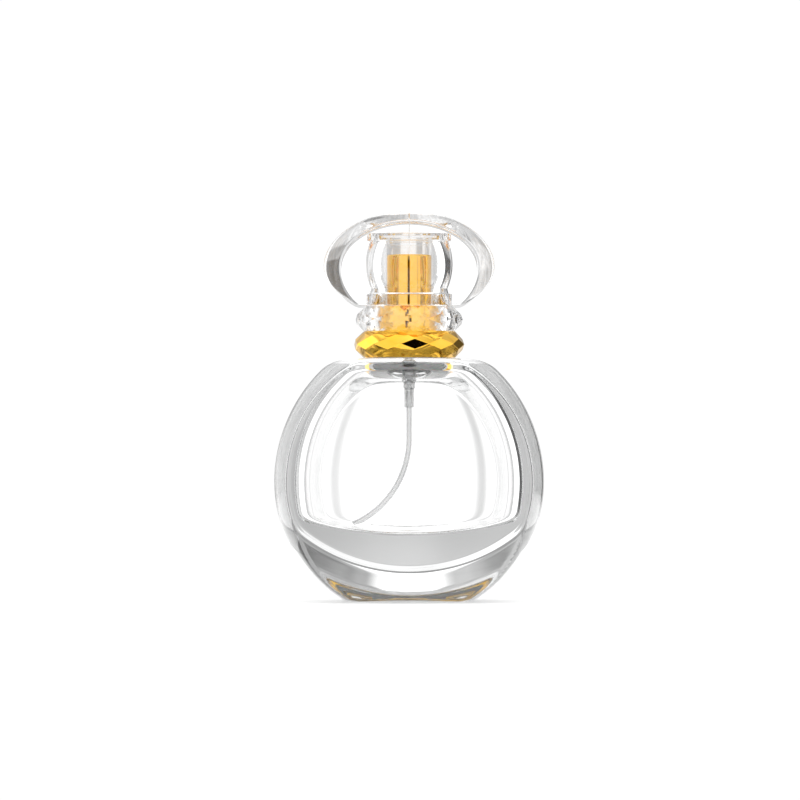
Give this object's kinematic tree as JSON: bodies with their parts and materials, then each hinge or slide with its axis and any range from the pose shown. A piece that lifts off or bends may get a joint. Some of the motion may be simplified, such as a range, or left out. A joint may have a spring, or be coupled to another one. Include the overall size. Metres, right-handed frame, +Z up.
{
  "type": "perfume bottle",
  "caption": "Round flat-faced clear glass perfume bottle with crimped spray pump, bent dip tube, faceted gold collar, gold actuator and a clear oval pull-off cap.",
  "frame": {"origin": "middle of the base, on the surface that the bottle stands on", "axes": "+Z up through the neck, -Y out of the flat front face, +X to the right of a viewer who faces the front; the spray leaves towards +Y"},
  "size_m": [0.074, 0.0316, 0.107],
  "materials": {
    "glass": "clear polished soda-lime glass",
    "clear_cap": "crystal-clear polished acrylic resin, fully transparent",
    "gold": "polished gold plating",
    "ferrule_metal": "gold-tinted anodised aluminium, satin",
    "white_plastic": "white moulded polypropylene",
    "natural_plastic": "natural milky translucent polyethylene",
    "seal_rubber": "matte nitrile rubber",
    "steel": "bright stainless steel"
  },
  "bodies": {
    "bottle": {"glass_bottle": "glass", "decor_collar": "gold", "collar_insert": "white_plastic", "crimp_ferrule": "ferrule_metal", "neck_gasket": "seal_rubber", "pump_housing": "natural_plastic", "turret": "white_plastic", "stem_seal": "seal_rubber", "return_spring": "steel", "dip_tube": "natural_plastic"},
    "stem": {"stem": "white_plastic", "piston": "white_plastic"},
    "actuator": {"actuator_core": "white_plastic", "actuator_shell": "gold", "nozzle_insert": "white_plastic"},
    "valve_rod": {"valve_rod": "white_plastic"},
    "ball": {"inlet_ball": "steel"},
    "cap": {"cap_shell": "clear_cap", "cap_ring": "clear_cap", "cap_core": "clear_cap"}
  },
  "joints": [
    {"name": "actuator_press", "type": "slide", "parent": "bottle", "child": "stem", "axis": [0, 0, -1], "range_m": [0, 0.0042], "stiffness_N_per_m": 800, "springref_m": -0.004},
    {"name": "actuator_spin", "type": "hinge", "parent": "stem", "child": "actuator", "pos_m": [0, 0, 0.09], "axis": [0, 0, 1], "continuous": true},
    {"name": "rod_follow", "type": "slide", "parent": "bottle", "child": "valve_rod", "axis": [0, 0, -1], "range_m": [0, 0.00462], "deforming": ["return_spring"]},
    {"name": "ball_lift", "type": "slide", "parent": "bottle", "child": "ball", "axis": [0, 0, 1], "range_m": [0, 0.0006]},
    {"name": "cap_lift", "type": "slide", "parent": "bottle", "child": "cap", "axis": [0, 0, 1], "range_m": [0, 0.03]}
  ],
  "couplings": [
    {"joint": "rod_follow", "follows": "actuator_press", "ratio": 1.1}
  ]
}
